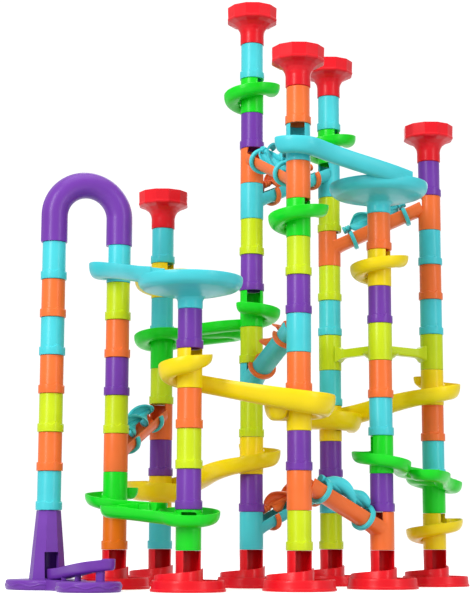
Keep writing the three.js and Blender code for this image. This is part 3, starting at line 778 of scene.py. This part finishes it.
def launch_tower():
    """The tapered tower, its two-lobed foot, and the raised track from its door to the outer lobe."""
    heading = math.degrees(math.atan2(LOBE.y, LOBE.x))
    foot = merged(
        lobe(PAD_R, 11),
        shifted(lobe(LOBE_R, 9), LOBE.x, LOBE.y),
        block(0, LOBE.xy.length, 1.2 * LOBE_R, 0.4 * MM, PAD_H - 0.4 * MM, heading),
    )
    top = 2 * P - GAP
    shell = lathe(rounded([
        (0, PAD_H - MM), (0.475 * P, PAD_H - MM), (0.47 * P, PAD_H + 1.5 * MM),
        (TUBE_R + 0.3 * MM, top), (0, top),
    ]), 96, faceted(8, 0.2 * P, 0.3 * P))
    foot = joined(foot, moved(shell, Matrix.Rotation(math.pi / 8, 4, "Z")))
    foot = cut(
        foot,
        rod(BORE_R, PAD_H + MM, top + MM),
        block(2 * MM, 24 * MM, 15 * MM, PAD_H + MM, 0.94 * P, DOOR_HEADING, 1.8 * MM),
    )
    door, turn = (8 * MM, -9 * MM), (20 * MM, -23 * MM)
    tip = (LOBE.x + 17 * MM, LOBE.y + 8 * MM)
    rows = stations(
        bend(door, -60, turn, -50, 4 * MM, 0.50 * P, 0.54 * P, 6),
        bend(turn, -50, tip, 25, 24 * MM, 0.54 * P, 0.78 * P, 30),
    )
    track = trough(rows, 8.5 * MM, 0.27 * P, fullness=0.35, ends="end")
    foot = joined(foot, track)
    for index, radius in ((18, 3.4 * MM), (33, 4.6 * MM)):
        place = rows[index][0]
        foot = joined(foot, shifted(rod(radius, PAD_H - MM, place.z - 0.24 * P), place.x, place.y))
    fin = shifted(block(-2.6 * MM, 2.6 * MM, 3 * MM, PAD_H - MM, 0.56 * P, 0, 0.8 * MM), 21 * MM, -32 * MM)
    foot = joined(foot, fin)
    neighbour = (COLUMN["c2"] - COLUMN["c1"]).xy
    return cut(foot, shifted(rod(TRAY_R + 0.9 * MM, -MM, P * 0.3, 96), neighbour.x, neighbour.y))


# ---- Moulded plastic ----


def plastic(name, colour):
    """Glossy moulded plastic: a faint cloudiness, uneven gloss and a very fine skin texture."""
    material = bpy.data.materials.new(f"plastic_{name}")
    material.use_nodes = True
    nodes, links = material.node_tree.nodes, material.node_tree.links
    shader = nodes["Principled BSDF"]
    place = nodes.new("ShaderNodeTexCoord")

    def noise(scale, detail):
        node = nodes.new("ShaderNodeTexNoise")
        node.inputs["Scale"].default_value = scale
        node.inputs["Detail"].default_value = detail
        links.new(place.outputs["Object"], node.inputs["Vector"])
        return node.outputs["Fac"]

    clouds = nodes.new("ShaderNodeValToRGB")
    clouds.color_ramp.elements[0].position = 0.3
    clouds.color_ramp.elements[1].position = 0.7
    clouds.color_ramp.elements[0].color = (*[0.93 * c for c in colour], 1)
    clouds.color_ramp.elements[1].color = (*[min(1.0, 1.04 * c + 0.004) for c in colour], 1)
    links.new(noise(26, 3), clouds.inputs["Fac"])
    links.new(clouds.outputs["Color"], shader.inputs["Base Color"])

    gloss = nodes.new("ShaderNodeMapRange")
    gloss.inputs["To Min"].default_value = 0.26
    gloss.inputs["To Max"].default_value = 0.40
    links.new(noise(70, 4), gloss.inputs["Value"])
    links.new(gloss.outputs["Result"], shader.inputs["Roughness"])

    bump = nodes.new("ShaderNodeBump")
    bump.inputs["Strength"].default_value = 0.05
    bump.inputs["Distance"].default_value = 0.1 * MM
    links.new(noise(900, 2), bump.inputs["Height"])
    links.new(bump.outputs["Normal"], shader.inputs["Normal"])

    shader.inputs["Specular IOR Level"].default_value = 0.24
    shader.inputs["Coat Weight"].default_value = 0.05
    shader.inputs["Coat Roughness"].default_value = 0.15
    return material


MATERIALS = {name: plastic(name, colour) for name, colour in COLOURS.items()}
STATIC = "run"
shapes = {}


def shape_of(maker):
    """Each shape is made once. Smooth faces meet at a crease only where the surface really turns."""
    if maker not in shapes:
        mesh = maker()
        mesh.polygons.foreach_set("use_smooth", [True] * len(mesh.polygons))
        mesh.set_sharp_from_angle(angle=math.radians(24 if maker in (funnel, launch_tower) else 35))
        shapes[maker] = mesh
    return shapes[maker]


def place_piece(name, maker, colour, matrix, *nodes, body=STATIC):
    mesh = shape_of(maker).copy()
    mesh.transform(matrix)
    mesh.name = name
    mesh.materials.clear()
    mesh.materials.append(MATERIALS[colour])
    piece = bpy.data.objects.new(name, mesh)
    bpy.context.scene.collection.objects.link(piece)
    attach(piece, body)
    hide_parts(*nodes)
    return piece


# ---- The pieces in their places ----

for n in range(2, 10):
    place_piece(f"tray_c{n}", base, "red", at_column(f"c{n}", -1), f"base_c{n}")
place_piece("tower", launch_tower, "purple", at_column("c1", -1), "launch_tower")

for column, top in {"c3": 9, "c5": 14, "c6": 12, "c7": 13, "c9": 11}.items():
    place_piece(f"cup_{column}", funnel, "red", at_column(column, top), f"funnel_{column}")

SPIRALS = (
    ("c3", 7, "yellow"), ("c5", 12, "green"), ("c6", 8, "green"),
    ("c7", 11, "green"), ("c8", 7, "yellow"), ("c9", 0, "yellow"),
)
for column, foot, colour in SPIRALS:
    place_piece(f"spiral_piece_{column}", spiral, colour, at_column(column, foot), f"spiral_{column}")

SLIDES = (
    (s_slide, "yellow", "c4", "c6", 3), (s_slide, "yellow", "c5", "c3", 1),
    (s_slide, "yellow", "c9", "c7", 3),
    (zigzag_slide, "green", "c2", "c4", 0), (zigzag_slide, "green", "c5", "c3", 5),
    (zigzag_slide, "green", "c8", "c9", 1),
)
for maker, colour, start, end, foot in SLIDES:
    node = f"slide_{start}_{end}_l{foot}"
    place_piece(f"{maker.__name__}_{start}_{end}", maker, colour, link_place(start, end, foot), node)

CHUTES = (
    ("c3", "c2", 2, "orange", "teal"), ("c6", "c8", 0, "orange", "teal"), ("c5", "c6", 9, "orange", "teal"),
    ("c9", "c7", 8, "orange", "teal"), ("c7", "c5", 0, "teal", "orange"), ("c6", "c5", 4, "teal", "orange"),
    ("c7", "c5", 9, "teal", "orange"),
)
for start, end, foot, colour, screw_colour in CHUTES:
    link = f"{start}_{end}_l{foot}"
    spot = link_place(start, end, foot)
    place_piece(f"chute_piece_{link}", chute, colour, spot, f"chute_{link}")
    for number, share in enumerate(CLIP_AT):
        grip = spot @ CHUTE_TO_PIECE @ Matrix.Translation((share * RUN, 0, 0))
        place_piece(f"clip_{link}_{number}", clip, screw_colour, grip, f"chute_{link}")
    axle_line = spot @ CHUTE_TO_PIECE @ Matrix.Translation((0, 0, AXLE_LIFT))
    place_piece(f"screw_{link}", spinner, screw_colour, axle_line, f"spinner_{link}", body=f"screw_{link}")

place_piece("dish_piece_c2_c4", dish, "teal", link_place("c2", "c4", 6), "dish_c2_c4")
place_piece("dish_piece_c6_c8", dish, "teal", link_place("c6", "c8", 9), "dish_c6_c8")
place_piece("brace_piece", brace, "lime", at_column("c7", 5), "brace")

bend_way = COLUMN["c2"] - COLUMN["c1"]
bend_spot = at_column("c1", 8, math.atan2(bend_way.y, bend_way.x)) @ Matrix.Translation((BEND_SPAN / 2, 0, 0))
place_piece("bend_piece", u_bend, "purple", bend_spot, "u_bend")

# Plain tubes: the node that holds them, the column, the lowest tube's level, and colours going up.
TUBES = (
    ("tubes_c1_l1", "c1", 1, "teal orange lime orange teal orange teal"),
    ("tubes_c2_l0", "c2", 0, "amber"), ("tubes_c2_l3", "c2", 3, "lime purple orange lime"),
    ("base_c3", "c3", 0, "teal"), ("slide_c5_c3_l1", "c3", 2, "purple"),
    ("chute_c3_c2_l2", "c3", 4, "lime"),
    ("slide_c5_c3_l5", "c3", 6, "teal"), ("tubes_c3_l8", "c3", 8, "teal"),
    ("tubes_c4_l1", "c4", 1, "purple lime orange"), ("slide_c4_c6_l3", "c4", 5, "purple"),
    ("chute_c7_c5_l0", "c5", 1, "purple"), ("slide_c5_c3_l1", "c5", 3, "lime"),
    ("chute_c6_c5_l4", "c5", 5, "lime"), ("tubes_c5_l7", "c5", 7, "purple lime"),
    ("chute_c5_c6_l9", "c5", 11, "purple"), ("tubes_c5_l13", "c5", 13, "teal"),
    ("base_c6", "c6", 0, "lime"), ("chute_c6_c8_l0", "c6", 2, "purple"),
    ("slide_c4_c6_l3", "c6", 4, "orange"),
    ("tubes_c6_l6", "c6", 6, "purple lime"), ("tubes_c6_l11", "c6", 11, "orange"),
    ("base_c7", "c7", 0, "lime"), ("chute_c7_c5_l0", "c7", 2, "purple"),
    ("slide_c9_c7_l3", "c7", 4, "teal"), ("tubes_c7_l6", "c7", 6, "teal lime"),
    ("chute_c9_c7_l8", "c7", 9, "lime"), ("tubes_c7_l12", "c7", 12, "teal"),
    ("tubes_c8_l1", "c8", 1, "purple"), ("tubes_c8_l3", "c8", 3, "teal orange"),
    ("brace", "c8", 6, "purple"),
    ("spiral_c8", "c8", 8, "orange"),
    ("tubes_c9_l2", "c9", 2, "teal orange"), ("tubes_c9_l6", "c9", 6, "teal orange teal"),
    ("tubes_c9_l10", "c9", 10, "purple"),
)
for node, column, foot, colours in TUBES:
    for step, colour in enumerate(colours.split()):
        place_piece(f"tube_{column}_{foot + step}", tube, colour, at_column(column, foot + step), node)

# ---- Floor, light and camera ----

middle = COLUMN["c5"]


def glowing(name, colour, glow):
    material = bpy.data.materials.new(name)
    material.use_nodes = True
    shader = material.node_tree.nodes["Principled BSDF"]
    shader.inputs["Base Color"].default_value = (*colour, 1)
    shader.inputs["Roughness"].default_value = 0.7
    shader.inputs["Emission Color"].default_value = (1, 1, 1, 1)
    shader.inputs["Emission Strength"].default_value = glow
    return material


def staged(name, mesh, material):
    mesh.materials.append(material)
    thing = bpy.data.objects.new(name, mesh)
    bpy.context.scene.collection.objects.link(thing)
    return thing


def pale_floor():
    reach = 6.0
    corners = [(-reach, -reach, 0), (reach, -reach, 0), (reach, reach, 0), (-reach, reach, 0)]
    mesh = bpy.data.meshes.new("floor")
    mesh.from_pydata(corners, [], [(0, 1, 2, 3)])
    floor = staged("floor", mesh, glowing("floor", (0.9, 0.9, 0.9), 0.46))
    floor.visible_diffuse = False


def white_surround():
    """A plain white wall all round, far beyond the camera, that is seen but sheds no light."""
    mesh = lathe([(5.9, -0.5), (6.0, -0.5), (6.0, 6.0), (5.9, 6.0)], 96)
    wall = staged("surround", mesh, glowing("surround", (0, 0, 0), 1.05))
    wall.visible_diffuse = False
    wall.visible_glossy = False
    wall.visible_shadow = False


def softbox(name, place, target, width, height, watts):
    data = bpy.data.lights.new(name, "AREA")
    data.shape = "RECTANGLE"
    data.size, data.size_y = width, height
    data.energy = watts
    lamp = bpy.data.objects.new(name, data)
    bpy.context.scene.collection.objects.link(lamp)
    lamp.location = place
    lamp.rotation_euler = (Vector(target) - Vector(place)).to_track_quat("-Z", "Y").to_euler()


pale_floor()
white_surround()
aim = (middle.x, middle.y, 0.33)
softbox("key", (-1.5, -2.0, 1.5), aim, 0.8, 1.8, 48)
softbox("fill", (1.9, -1.7, 0.9), aim, 0.6, 1.6, 15)
softbox("top", (0.0, -0.3, 2.4), aim, 2.0, 2.0, 20)
softbox("back", (0.5, 2.2, 1.6), aim, 2.0, 1.6, 14)

world = bpy.data.worlds.new("studio")
world.use_nodes = True
world.node_tree.nodes["Background"].inputs["Color"].default_value = (0.96, 0.98, 1.0, 1)
world.node_tree.nodes["Background"].inputs["Strength"].default_value = 0.62
bpy.context.scene.world = world
bpy.context.scene.view_settings.view_transform = "Standard"

camera_data = bpy.data.cameras.new("camera")
camera_data.lens = 92.4
camera_data.sensor_width = 36
camera = bpy.data.objects.new("camera", camera_data)
bpy.context.scene.collection.objects.link(camera)
camera.location = (middle.x - 0.358 * P, middle.y - 41.77 * P, 1.35 * P)
camera.rotation_euler = (math.radians(90 + 8.72), math.radians(-0.169), 0)
bpy.context.scene.camera = camera
